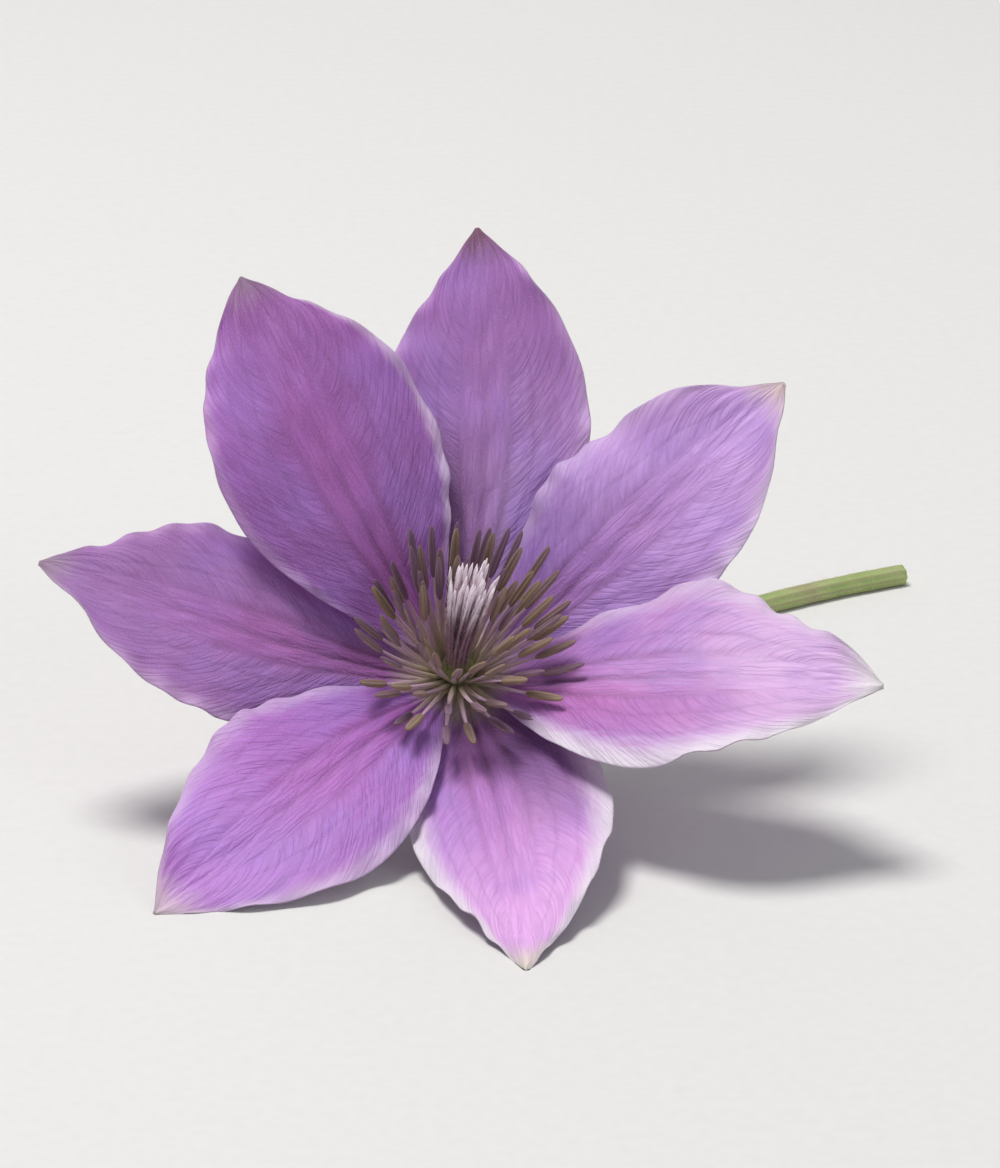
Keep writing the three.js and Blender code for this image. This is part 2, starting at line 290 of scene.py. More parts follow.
def half_width_at(tepal, s, v):
    """How wide a blade is from its midrib to one edge, in millimetres."""
    swell, width = [np.where(v < 0, *pair) for pair in zip(*tepal.outline)]
    widest = swell / (swell + TAPER)
    most = widest**swell * (1 - widest) ** TAPER
    blade = width * s**swell * (1 - s) ** TAPER / most
    pointed = np.sqrt(np.clip(1 - (np.clip(s - POINT_FROM, 0, 1) / (POINT_TO - POINT_FROM)) ** 2, 0, 1))
    lap = np.where(v < 0, *tepal.laps) * ridge(s - LAP_AT, LAP_SPREAD)
    return (tepal.half_width * blade + between(CLAW_HALF_WIDTH, TIP_HALF_WIDTH, s) + lap) * pointed


def midrib(tepal, s):
    """Points of the midrib and its directions: a cubic curve from the seat to the tip."""
    rise, tip_rise = math.radians(tepal.rise), math.radians(tepal.tip_rise)
    handle = tepal.reach / 3
    out = SEAT_RADIUS + SEAT_GAP + SOLID_THICKNESS / 2 * math.sin(rise)
    corners = np.array([
        (out, 0, tepal.lift),
        (out + handle * math.cos(rise), 0, tepal.lift + handle * math.sin(rise)),
        (tepal.reach - handle * math.cos(tip_rise), tepal.sway / 3,
         tepal.height - handle * math.sin(tip_rise)),
        (tepal.reach, tepal.sway, tepal.height),
    ])
    r = 1 - s
    weights = np.stack([r**3, 3 * s * r * r, 3 * s * s * r, s**3], -1)
    slopes = np.stack([-3 * r * r, 3 * r * r - 6 * s * r, 6 * s * r - 3 * s * s, 3 * s * s], -1)
    return weights @ corners, unit(slopes @ corners)


steps = np.diff(midrib(TEPALS[0], np.linspace(0, 1, 200))[0], axis=0)
print("the first midrib is", round(np.linalg.norm(steps, axis=1).sum(), 1), "mm long")


# %% The blade's smooth surface
def smooth_surface(tepal, s, v):
    """Points midway through the solid blade, in the tepal's own frame: +X out along it, +Z the axis."""
    at, along = midrib(tepal, s)
    left = unit(np.array([0.0, 1.0, 0.0]) - along * along[:, 1:2])
    up = np.cross(along, left)
    half = half_width_at(tepal, s, v)
    belly = np.sin(np.pi * s)
    fold = between(CHANNEL_AT_ROOT, CHANNEL_IN_MIDDLE, belly) * (np.hypot(v, KEEL) - KEEL)
    rolled = -ROLL * belly * v**4
    lean = tepal.lean * (1 - smoothstep(s, 0.35, 0.75)) + math.tan(math.radians(tepal.twist)) * s**2
    depth = np.where(v > 0, tepal.left, tepal.right)
    depth = depth * smoothstep(s, 0.3, 0.58) * (1 - smoothstep(s, 0.85, 1))  # claw and tip lie still
    phase = tepal.phase + np.where(v > 0, 2.2, 0)
    wave = depth * np.abs(v) ** 3 * np.sin(2 * np.pi * WAVES * s + phase)
    rise = half * (fold + rolled + lean * v) + wave
    return at + left * (half * v)[:, None] + up * rise[:, None]


def surface_normals(tepal, s, v, step=1e-3):
    """Directions out of the face."""
    along = smooth_surface(tepal, np.minimum(s + step, 1), v)
    along -= smooth_surface(tepal, np.maximum(s - step, 0), v)
    left = smooth_surface(tepal, s, v + step) - smooth_surface(tepal, s, v - step)
    return unit(np.cross(along, left))


# %% [markdown]
# ### What makes it a living blade
# The real blade has three ribs that run from claw to tip, grooves on its face and ridges on its back. Weaker
# veins leave them at a sharp angle and run out to the edge. The tissue puckers a little between the veins,
# and the thin margin crinkles. Each of these is one more formula that moves points out of the smooth surface,
# so they show in the mesh and not only in the finish.

# %% Ribs, veins and puckers
RIB_SPACING = 0.24
MIDDLE_THICKNESS, MARGIN_THICKNESS, CLAW_THICKNESS = 0.42, 0.13, 0.75
GROOVE_DEPTH = 0.17
RIB_HEIGHT = 0.45
VEIN_DEPTH = 0.05
SIDE_VEINS = 15  # along each side of a blade
VEIN_SLANT, VEIN_CURVE = 0.34, 1.25  # how far the side veins run on towards the tip, and how they bend there
PUCKER = 0.09
CRINKLE = 0.30


def ribs_at(s, v, width):
    """How strongly the three ribs show. The side ribs draw in to the midrib near the tip."""
    spacing = RIB_SPACING * (1 - 0.5 * smoothstep(s, 0.75, 1))
    side = np.maximum(ridge(v - spacing, width), ridge(v + spacing, width))
    return np.maximum(ridge(v, width), 0.8 * side)


def side_vein(s, v):
    """A count that is the same all along one side vein, and how far out from the ribs a point is."""
    run_out = np.clip(np.abs(v) - RIB_SPACING, 0, None)
    return SIDE_VEINS * (s - VEIN_SLANT * run_out**VEIN_CURVE), run_out


def veins_at(tepal, s, v):
    """How strongly the finer veins show: two that run along each side, and many that branch to the edge."""
    side = np.abs(v)
    wander = 0.012 * np.sin(31 * s + 5 * tepal.phase) + 0.008 * np.sin(57 * s + tepal.phase)
    long_veins = np.maximum(
        ridge(side - 0.46 + wander, 0.018) * (1 - smoothstep(s, 0.8, 0.95)),
        0.8 * ridge(side - 0.68 - wander, 0.018) * smoothstep(s, 0.2, 0.35) * (1 - smoothstep(s, 0.72, 0.88)),
    )
    turns, run_out = side_vein(s, v)
    turns = turns + np.where(v > 0, 0.4, 0)  # the two sides don't match
    turns = turns + 0.16 * np.sin(9 * side + 2.3 * np.floor(turns) + tepal.phase)
    branch = ridge((turns % 1) - 0.5, 0.075) * smoothstep(run_out, 0, 0.05)
    fade = smoothstep(s, 0.06, 0.16) * (1 - smoothstep(s, 0.9, 0.97))
    return np.maximum(long_veins, 0.75 * branch) * fade


def puckers_at(tepal, s, v):
    """How far the sheet stands out of its smooth form, in millimetres."""
    side = np.abs(v)
    shift = np.where(v > 0, 1.1, 0) + tepal.phase
    quilt = np.sin(2 * np.pi * (7.3 * s - 2.2 * side) + shift) * np.sin(2 * np.pi * 1.9 * side + 0.8)
    soft = np.sin(2 * np.pi * (3.1 * s + 0.9 * v) + 2 * tepal.phase)
    edge = np.sin(2 * np.pi * 8.2 * s + 1.9 * np.sin(2 * np.pi * 1.7 * s + shift) + 2 * shift)
    open_part = smoothstep(s, 0.12, 0.35) * (1 - smoothstep(s, 0.88, 1))
    return open_part * (PUCKER * (quilt + 0.8 * soft) + CRINKLE * side**7 * edge)


puckers = puckers_at(TEPALS[0], np.full(201, 0.6), np.linspace(-1, 1, 201))
print("a blade's sheet puckers by up to", round(np.abs(puckers).max(), 2), "mm")


# %% Placing a blade's points
def blade_points(tepal, number, s, v, is_face):
    """Where the points of a tepal's face and back are, in metres in the model's frame."""
    normal = surface_normals(tepal, s, v)
    thickness = between(MIDDLE_THICKNESS, MARGIN_THICKNESS, np.abs(v) ** 2.2)
    thickness = between(CLAW_THICKNESS, thickness, smoothstep(s, 0.02, 0.2))
    below = SOLID_THICKNESS / 2  # the back stays on the solid's, so that it still touches the surface
    face = thickness - below - GROOVE_DEPTH * ribs_at(s, v, 0.05) * (1 - s) ** 0.5
    face = face - VEIN_DEPTH * veins_at(tepal, s, v)
    back = -below - RIB_HEIGHT * ribs_at(s, v, 0.075) * (1 - s) ** 0.7
    back = back - 0.8 * VEIN_DEPTH * veins_at(tepal, s, v)
    offset = np.where(is_face, face, back) + puckers_at(tepal, s, v)
    _, along = midrib(tepal, s)
    into_seat = 0.55 * (1 - smoothstep(s, 0, 0.04))  # the claw's end runs into the receptacle
    points = smooth_surface(tepal, s, v) + normal * offset[:, None] - along * into_seat[:, None]
    turn = FIRST_ROOT + 2 * math.pi * number / len(TEPALS)
    points = moved(points, bloom_frame @ Matrix.Rotation(turn, 4, "Z"))
    points[:, 2] = np.maximum(points[:, 2], 0)  # nothing reaches below the surface that it lies on
    return points


# %% [markdown]
# ### From a grid to a blade
# `create_grid` makes a flat square of points, and `extrude_face_region` doubles it into a thin closed slab
# with a rim. Its place on the square tells each point its s and v, which are kept in an attribute, so that
# the finish can paint along the blade too. The formula then moves all points at once.

# %% Make a blank slab
COLUMNS, ROWS = 104, 150


def slab(columns, rows):
    """A closed slab. Its x is -v, because v runs to the left, its y is s, and its z is 1 on the face only."""
    bm = bmesh.new()
    bmesh.ops.create_grid(bm, x_segments=columns, y_segments=rows, size=1)
    for vert in bm.verts:
        vert.co.y = (vert.co.y + 1) / 2
    made = bmesh.ops.extrude_face_region(bm, geom=bm.faces[:], use_keep_orig=True)
    for item in made["geom"]:
        if isinstance(item, bmesh.types.BMVert):
            item.co.z = 1
    bmesh.ops.recalc_face_normals(bm, faces=bm.faces)
    return bm


blank = slab(COLUMNS, ROWS)
print("a blank has", len(blank.verts), "points and", len(blank.faces), "faces")


# %% Objects from meshes
def linked(bm, name):
    """An object in the scene from a bmesh, which is freed."""
    mesh = bpy.data.meshes.new(name)
    bm.to_mesh(mesh)
    bm.free()
    piece = bpy.data.objects.new(name, mesh)
    bpy.context.scene.collection.objects.link(piece)
    return piece


def finished(bm, name, body="root"):
    """A smooth-shaded object that rides on a body of the model."""
    for face in bm.faces:
        face.smooth = True
    piece = linked(bm, name)
    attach(piece, body)
    return piece


def points_of(mesh):
    points = np.empty(len(mesh.vertices) * 3)
    mesh.vertices.foreach_get("co", points)
    return points.reshape(-1, 3)


def set_points(mesh, points):
    mesh.vertices.foreach_set("co", points.astype(np.float32).ravel())
    mesh.update()


def note(mesh, name, *columns):
    """Keeps up to three numbers for each point in an attribute, which a finish can read."""
    values = np.zeros((len(mesh.vertices), 3), dtype=np.float32)
    for i, column in enumerate(columns):
        values[:, i] = column
    layer = mesh.attributes.new(name, "FLOAT_VECTOR", "POINT")
    layer.data.foreach_set("vector", values.ravel())


# %% [markdown]
# ## The tepals' finish
# The face of a real tepal is satiny mauve, and no part of it is one flat colour: a deeper bar runs down the
# middle, the three grooves are darkest near the claw, the claw itself is pale, and a whitish margin feathers
# in along the veins. On some tepals a painted shadow darkens the foot, where a neighbour or the stamens lie
# over it. The tepals differ too, so each gets its own mix from one recipe. All of it is painted along the
# blade, by s and v, and fine grain is laid out in millimetres so that it doesn't stretch.

# %% Each tepal's mix
# body and light are colours near the claw and further out, and tip the tip's. patches and bar are how
# strongly the darker patches and the middle bar show. shade is how dark the painted shadow on the left foot
# is, where a neighbour or the stamens would cast it, and it also adds painted shade to the dark ribs at the
# foot. bar_at is how far the bar lies to the left. margins are how pale the right and left edges are, and
# reach is how far in they come.
Tint = namedtuple("Tint", "body light patches margins reach bar bar_at shade tip")
TINTS = [
    Tint((192, 152, 222), (220, 180, 242), 0.15, (0.40, 0.20), 0.24, 0.35, 0.0, 0.0, (226, 204, 204)),
    Tint((204, 174, 228), (184, 130, 202), 0.30, (0.20, 0.15), 0.18, 0.30, 0.1, 0.8, (136, 92, 116)),
    Tint((156, 100, 180), (176, 110, 188), 0.50, (0.45, 0.20), 0.13, 0.60, 0.0, 0.0, (150, 118, 148)),
    Tint((172, 122, 188), (184, 138, 200), 0.35, (0.15, 0.25), 0.20, 0.60, 0.0, 0.2, (176, 150, 172)),
    Tint((188, 114, 208), (208, 146, 232), 0.20, (0.30, 0.45), 0.24, 0.40, 0.0, 0.0, (232, 208, 218)),
    Tint((210, 146, 224), (250, 190, 254), 0.05, (0.95, 0.85), 0.32, 0.35, -0.1, 0.6, (242, 228, 214)),
    Tint((214, 145, 217), (236, 198, 243), 0.05, (0.95, 0.40), 0.32, 0.80, -0.4, 0.0, (250, 242, 246)),
]


# %% Grain and the finest veins
def long_grain(f, spread, scale):
    """Streaks that run along a blade."""
    return f.noise(f.vectors("MULTIPLY", spread, (1.0, 0.16, 1.0)), scale, 4.0, 0.6)


def vein_net(f, spread, side):
    """The finest veins: 0 along them and 1 between. Their long meshes lie along the blade over the three
    ribs, and along the side veins elsewhere."""
    lie = f.attribute("vein_lie")
    bend = f.vectors("MULTIPLY", f.noise(lie, 1.2, output="Color"), (0.5, 0.5, 0.5))
    lengthwise = f.vectors("ADD", f.vectors("MULTIPLY", spread, (1.7, 0.2, 1.0)), bend)
    lie = f.vectors("ADD", lie, bend)
    over_ribs = f.ramp(side, RIB_SPACING + 0.06, RIB_SPACING - 0.04)
    along = f.ramp(f.cells(lengthwise, 1.0), 0.0, 0.22)
    return over_ribs * along + (1 - over_ribs) * f.ramp(f.cells(lie, 1.0), 0.0, 0.22)


# %% The face's recipe
VIOLET, MAGENTA = (170, 130, 214), (190, 100, 182)
DEEP_MAUVE, PLUM = (146, 86, 156), (92, 42, 92)
PALE_MARGIN, PALE_CLAW = (246, 232, 248), (214, 196, 188)
# Pale flecks of this colour are painted glitter: light caught by the cells of the face.
PAINTED_GLITTER = (226, 186, 242)


def face_colour(f, tint, grain, net):
    """The coats of colour on a face. v is across the blade and s along it."""
    v, s, vein = f.parts(f.attribute("blade"))
    groove, deep, _ = f.parts(f.attribute("grooves"))
    streaked = f.noise(f.attribute("spread"), 0.09, 3.0) + 0.35 * (grain - 0.5)
    beside_bar = f.ramp(abs(v), 0.22, 0.45) * f.ramp(s, 0.6, 0.2)
    bar = f.ramp(abs(v - tint.bar_at) + 0.2 * (grain - 0.5), 0.48, 0.08) * f.ramp(s, 0.92, 0.45)
    right, left = tint.margins
    paleness = right + (left - right) * f.ramp(v, -0.2, 0.2)
    ragged = abs(v) + 0.16 * (grain - 0.5)
    margin = f.ramp(ragged + 0.08 * (1 - s), 1.02 - tint.reach, 1.02) * f.ramp(s, 0.1, 0.3)
    return f.coats(
        tint.body,
        (f.ramp(s + 0.5 * (grain - 0.5), 0.2, 0.85), tint.light),
        (0.45 * f.ramp(streaked, 0.35, 0.68) + 0.3 * beside_bar, VIOLET),
        (tint.patches * f.ramp(streaked, 0.75, 0.3), DEEP_MAUVE),
        (0.7 * tint.bar * bar, MAGENTA),
        ((0.34 + 0.2 * tint.bar) * groove * f.ramp(s, 0.85, 0.1), PLUM),
        # The wide ribs darken towards the claw, and shade adds painted shade there. The next coat is a painted
        # shadow on the left foot, where a neighbour or the stamens lie over it.
        ((0.25 + 0.45 * tint.shade) * deep, PLUM),
        (tint.shade * f.ramp(v, -0.05, 0.45) * f.ramp(s, 0.62, 0.32), PLUM),
        (0.16 * vein, PLUM),
        (0.10 * (1 - net), PLUM),
        (margin * paleness, PALE_MARGIN),
        (f.ramp(s + 0.1 * (grain - 0.5), 0.88, 1.0), tint.tip),
        (f.ramp(s, 0.12, 0.02), PALE_CLAW),
    )


def face_finish(name, tint):
    f = Finish(name)
    spread = f.attribute("spread")
    grain = long_grain(f, spread, 1.3)
    fine = f.noise(spread, 5.0, 3.0, 0.7)
    net = vein_net(f, spread, abs(f.parts(f.attribute("blade"))[0]))
    colour = face_colour(f, tint, grain, net)
    return f.surface(
        # The pale flecks are painted glitter.
        Base_Color=f.blend(0.3 * f.ramp(fine, 0.45, 0.8), colour, PAINTED_GLITTER),
        Roughness=0.46 + 0.16 * grain, Normal=f.relief(0.35 * net + 0.6 * grain + 0.35 * fine, 0.00012),
        glow=(0.28, (1.0, 0.55, 0.9), 0.0009), Sheen_Weight=0.18, Sheen_Roughness=0.4,
        Specular_IOR_Level=0.4,
    )


faces = [face_finish(f"tepal_{i + 1}_face", tint) for i, tint in enumerate(TINTS)]
print(len(faces), "faces' finishes, with", len(faces[0].node_tree.nodes), "nodes each")

# %% [markdown]
# The back of a tepal is paler and greyer than its face, because less light reaches it. A beige band runs
# along the ribs, which turn green towards the claw, and the veins stand out darker. It is painted by the same
# s and v.

# %% The back's recipe
GREY_LILAC, DEEP_LILAC, VEIN_LILAC = (188, 152, 200), (172, 124, 186), (132, 92, 138)
BEIGE_BAND, GREEN_BASE = (196, 168, 176), (170, 174, 128)


def back_finish(name):
    f = Finish(name)
    v, s, vein = f.parts(f.attribute("blade"))
    rib, _, _ = f.parts(f.attribute("grooves"))
    spread = f.attribute("spread")
    grain = long_grain(f, spread, 1.5)
    clouds = f.noise(spread, 0.1, 3.0)
    fine = f.noise(spread, 6.0, 3.0, 0.7)
    net = vein_net(f, spread, abs(v))
    ragged = abs(v) + 0.14 * (grain - 0.5)
    band = f.ramp(ragged + 0.25 * s, 0.56, 0.26) * f.ramp(s, 0.98, 0.4)
    colour = f.coats(
        GREY_LILAC,
        (f.ramp(clouds, 0.35, 0.7), DEEP_LILAC),
        (0.8 * band, BEIGE_BAND),
        (0.5 * rib * f.ramp(s, 0.9, 0.3), GREEN_BASE),
        (0.35 * vein, VEIN_LILAC),
        (0.14 * (1 - net), VEIN_LILAC),
        (f.ramp(s + 0.2 * abs(v), 0.28, 0.02), GREEN_BASE),
        (0.6 * f.ramp(ragged, 0.78, 1.0), (214, 186, 216)),
        # Pale flecks, painted glitter as on the face.
        (0.3 * f.ramp(fine, 0.45, 0.8), (214, 192, 216)),
    )
    return f.surface(
        Base_Color=colour, Roughness=0.55 + 0.16 * grain,
        Normal=f.relief(0.7 * grain + 0.5 * fine - 0.5 * net, 0.00014),
        glow=(0.25, (1.0, 0.6, 0.9), 0.0009), Sheen_Weight=0.35, Sheen_Roughness=0.5,
        Specular_IOR_Level=0.3,
    )


tepal_back = back_finish("tepal_back")
print("the back's finish has", len(tepal_back.node_tree.nodes), "nodes")

# %% Shape and paint the seven tepals
LENGTH = 46.0  # of a blade along its midrib, nearly enough for its grain
BETWEEN_TEPALS, BETWEEN_SIDES = 60.0, 9.0  # how far apart in the noise their grain comes from


def sides_of(mesh, is_face):
    """0 for each polygon of the face, and 1 for the back and the rim. All have four corners."""
    corners = np.empty(len(mesh.loops), dtype=np.int32)
    mesh.loops.foreach_get("vertex_index", corners)
    return 1 - is_face[corners.reshape(-1, 4)].all(1)


def make_tepal(number):
    """Tepal number, from 0, as a closed blade that stands for its solid."""
    tepal = TEPALS[number]
    node = f"tepal_{number + 1}"
    piece = finished(blank.copy(), f"{node}_blade")
    mesh = piece.data
    x, s, z = points_of(mesh).T
    v = -x
    is_face = z > 0.5
    mesh.materials.append(faces[number])
    mesh.materials.append(tepal_back)
    mesh.polygons.foreach_set("material_index", sides_of(mesh, is_face))
    half = half_width_at(tepal, s, v)
    seed = BETWEEN_TEPALS * number
    note(mesh, "blade", v, s, veins_at(tepal, s, v))
    note(mesh, "spread", v * half, s * LENGTH + seed, np.where(is_face, 0.0, BETWEEN_SIDES))
    note(mesh, "vein_lie", 3.0 * side_vein(s, v)[0], 0.36 * v * half, seed)  # across and along side veins
    note(mesh, "grooves", ribs_at(s, v, 0.045), ribs_at(s, v, 0.16) * (1 - smoothstep(s, 0.12, 0.42)))
    set_points(mesh, blade_points(tepal, number, s, v, is_face))
    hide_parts(node)
    return piece


blades = [make_tepal(number) for number in range(len(TEPALS))]
blank.free()
for number, piece in enumerate(blades):
    low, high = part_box(f"tepal_{number + 1}")
    points = points_of(piece.data)
    off = np.abs([points.min(0) - np.array(low), points.max(0) - np.array(high)]).max() / MM
    print(piece.name, len(piece.data.polygons), "faces,", round(off, 2), "mm off its solid's box")

# %% [markdown]
# ## Rods: stamens, styles and stalk
# The rest of the flower is slim rods of changing width. A curve object with a bevel would do for plain ones,
# but these have lobes, ribs and flattened sections. So each starts as a cylinder that is cut into rings, and
# a list of stations says where each ring goes, how wide it is across and how thick.

# %% A blank rod
def rod(sides, rings):
    """A closed cylinder of radius 1 whose z counts its rings from 0."""
    bm = bmesh.new()
    bmesh.ops.create_cone(bm, cap_ends=True, segments=sides, radius1=1, radius2=1, depth=1)
    lengthwise = [e for e in bm.edges if abs(e.verts[0].co.z - e.verts[1].co.z) > 0.5]
    bmesh.ops.subdivide_edges(bm, edges=lengthwise, cuts=rings - 2)
    for vert in bm.verts:
        vert.co.z = round((vert.co.z + 0.5) * (rings - 1))
    bmesh.ops.recalc_face_normals(bm, faces=bm.faces)
    return bm


def copies(blank, count):
    """Several copies of a blank in one bmesh, one after the other."""
    pattern = bpy.data.meshes.new("pattern")
    blank.to_mesh(pattern)
    bm = bmesh.new()
    for _ in range(count):
        bm.from_mesh(pattern)
    bpy.data.meshes.remove(pattern)
    return bm


# %% Paths for the rods
def directions(at):
    return unit(np.gradient(at, axis=0))


def picked(points, run, places):
    """Points at some places along a line. run says where its own points are."""
    return np.stack([np.interp(places, run, column) for column in points.T], 1)


def carried_frames(at, first):
    """Two directions square to a path at each station, carried along it without turning."""
    along = directions(at)
    across = np.empty_like(at)
    side = np.array(first, dtype=float)
    for i, direction in enumerate(along):
        side = side - direction * side.dot(direction)
        side /= np.linalg.norm(side)
        across[i] = side
    return across, np.cross(along, across)


def on_path(points, at, across, out, width, thickness):
    """Points of a blank rod, placed on stations. width and thickness are half of the rod's own."""
    ring = points[:, 2].astype(int)
    x, y = points[:, 0] * width[ring], points[:, 1] * thickness[ring]
    return at[ring] + across[ring] * x[:, None] + out[ring] * y[:, None]


def leaning_path(root, base, around, lean, tip_lean, length, shares, sway):
    """A path whose slope from the bloom's axis changes from lean to tip_lean, in degrees."""
    middles = (shares[1:] + shares[:-1]) / 2
    steps = np.diff(shares) * length
    slope = np.radians(between(lean, tip_lean, middles))
    out = root + np.concatenate([[0], np.cumsum(steps * np.sin(slope))])
    up = base + np.concatenate([[0], np.cumsum(steps * np.cos(slope))])
    cos, sin = math.cos(around), math.sin(around)
    side = sway * length * shares**2
    return np.stack([out * cos - side * sin, out * sin + side * cos, up], 1)


# %% [markdown]
# ## The stamens
# Seventy stamens stand in three whorls. Each is a flat pale filament that carries a long anther of two lobes,
# which splits along its sides and shows its pollen there. The outer ones spread, and the inner ones stand
# close round the styles. Copies of one stamen would look stamped, so a seeded random draw varies their paths.

# %% Where the stamens stand
Whorl = namedtuple("Whorl", "count root lean tip_lean filament anther droop")
WHORLS = [
    Whorl(26, 2.05, 46, 35, 8.3, 5.1, 24),
    Whorl(24, 1.85, 30, 23, 8.7, 5.3, 20),
    Whorl(20, 1.62, 17, 13, 8.3, 5.3, 12),
]
STAMEN_BASE = 1.65  # how high they stand above the ring of tepal roots
STAMEN_STEPS = 40
BRUSH_BEND = np.array([1.1, 1.0, 0])  # how far the tips bend sideways and up, towards the light
shares = np.linspace(0, 1, STAMEN_STEPS + 1)

draw = np.random.default_rng(11)
stamen_paths = []
for turn, whorl in enumerate(WHORLS):
    for i in range(whorl.count):
        length = whorl.filament + whorl.anther + 0.5 * math.sin(5 * i + turn) + draw.uniform(-0.5, 0.2)
        around = 2 * math.pi * (i + 0.33 * turn + draw.uniform(-0.25, 0.25)) / whorl.count
        droop = whorl.droop * max(0.0, -math.sin(around)) ** 0.7  # the lower ones hang out more
        path = leaning_path(
            whorl.root, STAMEN_BASE, around,
            whorl.lean + 4 * math.sin(3 * i + 2 * turn) + draw.uniform(-4, 4) + 0.6 * droop,
            whorl.tip_lean + draw.uniform(-5, 5) + droop,
            length, shares, draw.uniform(-0.06, 0.06),
        )
        path += BRUSH_BEND * shares[:, None] ** 2
        stamen_paths.append((path, whorl.filament / (whorl.filament + whorl.anther), draw.uniform()))
print(len(stamen_paths), "stamens")


# %% Many rods as one piece
def rods_piece(name, sides, rings, placed, nodes, section=None):
    """One piece of many rods. placed has each one's stations, two directions, half sizes and seed."""
    blank = rod(sides, rings)
    each = len(blank.verts)
    piece = finished(copies(blank, len(placed)), name)
    blank.free()
    mesh = piece.data
    points = points_of(mesh)
    share = points[:, 2] / (rings - 1)
    note(mesh, "section", points[:, 0], points[:, 1], share)
    note(mesh, "seed", np.repeat([p[4] for p in placed], each))
    if section:
        points[:, 0], points[:, 1] = section(points[:, 0], points[:, 1])
    out = np.empty_like(points)
    for i, (at, across, depth, size, _) in enumerate(placed):
        own = slice(i * each, (i + 1) * each)
        out[own] = on_path(points[own], at, across, depth, *size)
    set_points(mesh, moved(out, bloom_frame))
    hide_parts(*nodes)
    return piece


def strap_frames(at):
    """Across a stamen the way round the bloom's axis, and out of it towards the axis."""
    along = directions(at)
    radial = at[-1] * np.array([1, 1, 0])
    across = np.cross(np.array([0, 0, 1.0]), radial)
    across = unit(across - along * (along @ across)[:, None])
    return across, np.cross(along, across)


# %% Filaments
FILAMENT_RINGS = 16
FILAMENT_WIDTH, FILAMENT_THICKNESS = 0.27, 0.13  # half of each, in mm

filaments = []
share = np.linspace(0, 1, FILAMENT_RINGS)
taper = 1.15 - 0.55 * share**2
size = (FILAMENT_WIDTH * taper, FILAMENT_THICKNESS * taper)
for path, joint, seed in stamen_paths:
    at = picked(path, shares, np.linspace(0, joint + 0.02, FILAMENT_RINGS))
    filaments.append((at, *strap_frames(at), size, seed))
filament_piece = rods_piece("filaments", 8, FILAMENT_RINGS, filaments, ["stamens"])
print(len(filament_piece.data.polygons), "filament faces")


# %% Anthers
ANTHER_RINGS = 18
ANTHER_WIDTH, ANTHER_THICKNESS = 0.46, 0.34


def two_lobes(x, y):
    """A section with a furrow down its front and back, and a slit down each side."""
    furrow = 1 - 0.45 * ridge(x, 0.28)
    slit = 1 - 0.16 * ridge(y, 0.16)
    return x * slit, y * furrow


anthers = []
share = np.linspace(0, 1, ANTHER_RINGS)
share = between(share, 0.5 - 0.5 * np.cos(np.pi * share), 0.7)  # closer rings at the ends
blunt = np.clip(1 - np.abs(2 * share - 1) ** 3.5, 0.03, 1) ** 0.5 * (1.05 - 0.2 * share)
for path, joint, seed in stamen_paths:
    at = picked(path, shares, between(joint - 0.01, 1, share))
    plump = 0.88 + 0.24 * seed
    size = (ANTHER_WIDTH * blunt * plump, ANTHER_THICKNESS * blunt * plump)
    anthers.append((at, *strap_frames(at), size, seed))
anther_piece = rods_piece("anthers", 24, ANTHER_RINGS, anthers, ["stamens"], two_lobes)
print(len(anther_piece.data.polygons), "anther faces")

# %% [markdown]
# Filaments are waxy, greenish at the foot and pinkish above, and the darkening of the foot is painted shade
# from the crowded brush. Anthers range from purple to brown, and where they have opened, pollen grains cover
# them. Each rod's seed shifts its colour, and its section tells where the slits are.

# %% The stamens' finishes
def filament_finish():
    f = Finish("filament")
    _, _, share = f.parts(f.attribute("section"))
    seed, _, _ = f.parts(f.attribute("seed"))
    grain = f.noise(f.place(), 2600.0, 3.0, 0.6)
    colour = f.coats(
        (202, 192, 162),
        (f.ramp(share + 0.2 * seed, 0.25, 0.95), (200, 170, 188)),
        # Painted shade: the foot's own green is darkened where the crowded brush would shade it.
        (0.6 * f.ramp(share, 0.2, 0.0), (134, 136, 88)),
        (0.35 * f.ramp(grain, 0.4, 0.75), (170, 130, 150)),
    )
    return f.surface(
        Base_Color=colour, Roughness=0.5 + 0.15 * grain, Normal=f.relief(grain, 0.00005),
        glow=(0.2, (1.0, 0.8, 0.7), 0.0006), Specular_IOR_Level=0.35,
    )


def anther_finish():
    f = Finish("anther")
    x, y, share = f.parts(f.attribute("section"))
    seed, _, _ = f.parts(f.attribute("seed"))
    grain = f.noise(f.place(), 2200.0, 4.0, 0.65)
    pollen = f.cells(f.place(), 9000.0, "F1")
    open_side = f.ramp(abs(y) + 0.35 * (grain - 0.5), 0.6, 0.2) * f.ramp(share + 0.5 * seed, 0.95, 0.7)
    colour = f.coats(
        (134, 104, 128),
        (f.ramp(seed + 0.5 * (grain - 0.5), 0.1, 0.9), (156, 134, 108)),
        (0.55 * f.ramp(abs(x), 0.35, 0.0), (122, 92, 116)),
        (0.75 * open_side, (178, 156, 124)),
        (open_side * f.ramp(pollen, 0.45, 0.2), (214, 196, 150)),
        (f.ramp(share, 0.93, 1.0), (140, 112, 96)),
    )
    return f.surface(
        Base_Color=colour, Roughness=0.62 + 0.18 * grain,
        Normal=f.relief(grain + 0.8 * open_side * f.ramp(pollen, 0.5, 0.1), 0.00008),
        Specular_IOR_Level=0.3, Sheen_Weight=0.1,
    )


filament_piece.data.materials.append(filament_finish())
anther_piece.data.materials.append(anther_finish())
print(len(bpy.data.materials), "materials so far, with the solids' own")

